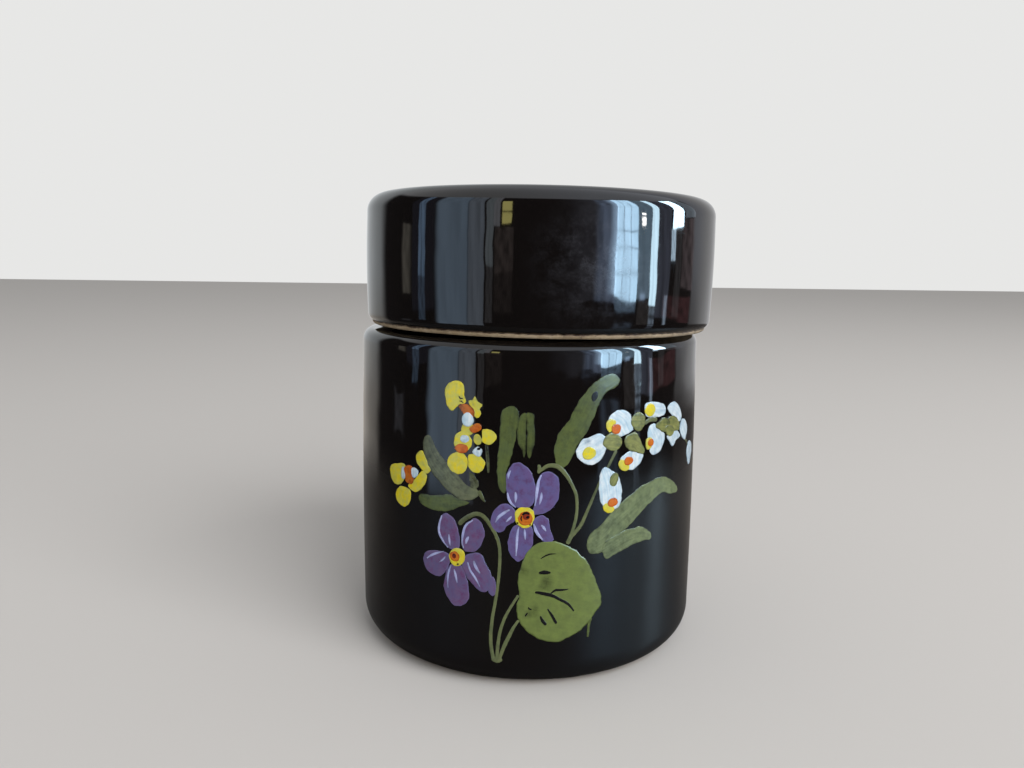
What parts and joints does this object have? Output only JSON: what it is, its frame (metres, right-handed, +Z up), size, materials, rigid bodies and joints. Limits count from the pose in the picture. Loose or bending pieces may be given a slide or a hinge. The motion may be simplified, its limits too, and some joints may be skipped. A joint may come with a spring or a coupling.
{
  "type": "lidded jar",
  "caption": "Small round jar with a short neck and a deep cap lid that lifts off; glossy black glaze over buff clay, with a hand-painted spray of flowers.",
  "frame": {"origin": "middle of the jar's flat base, on its axis", "axes": "+Z up along the jar's axis, -Y towards the viewer and the painted side, +X to the viewer's right, the side the lid has slid to"},
  "size_m": [0.0838, 0.0822, 0.104],
  "materials": {
    "clay": "matte",
    "black_glaze": "polished",
    "leaf_green_enamel": "satin",
    "violet_enamel": "satin",
    "yellow_enamel": "satin",
    "orange_enamel": "satin",
    "white_enamel": "satin"
  },
  "bodies": {
    "jar": {"jar_body": "clay", "jar_glaze": "black_glaze"},
    "lid": {"lid_body": "clay", "lid_inner_glaze": "black_glaze", "lid_outer_glaze": "black_glaze"}
  },
  "joints": [
    {"name": "lid_lift", "type": "slide", "parent": "jar", "child": "lid", "axis": [0, 0, 1], "range_m": [0, 0.08]}
  ]
}
